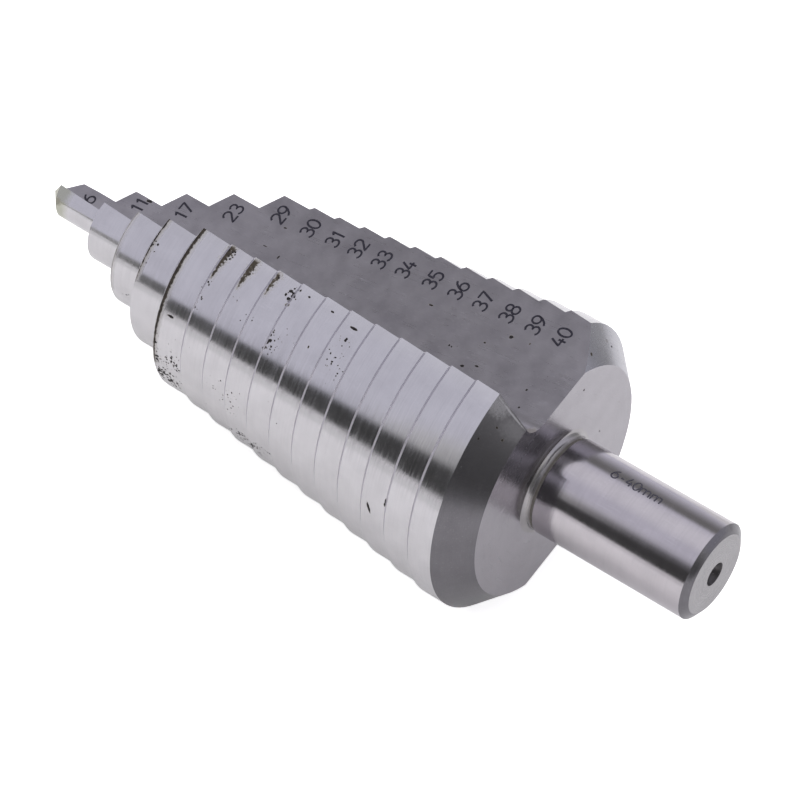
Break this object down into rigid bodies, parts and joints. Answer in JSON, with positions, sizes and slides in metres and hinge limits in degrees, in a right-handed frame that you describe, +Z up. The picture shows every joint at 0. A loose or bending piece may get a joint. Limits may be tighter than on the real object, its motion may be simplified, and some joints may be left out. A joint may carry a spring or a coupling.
{
  "type": "step drill",
  "caption": "Two-flute step drill for sheet metal, with marked lands rising from 6 mm to 40 mm and a plain round shank.",
  "frame": {"origin": "bottom centre of the bounding box, on the surface that the drill lies on", "axes": "+X from the point to the shank, along the resting surface, +Z up; the drill's own axis rises about 5 degrees towards the shank"},
  "size_m": [0.1054, 0.0398, 0.0352],
  "materials": {
    "ground_steel": "ground high-speed steel, light grey with fine grinding lines and a few dark specks"
  },
  "bodies": {
    "root": {"step_drill": "ground_steel"}
  },
  "joints": []
}
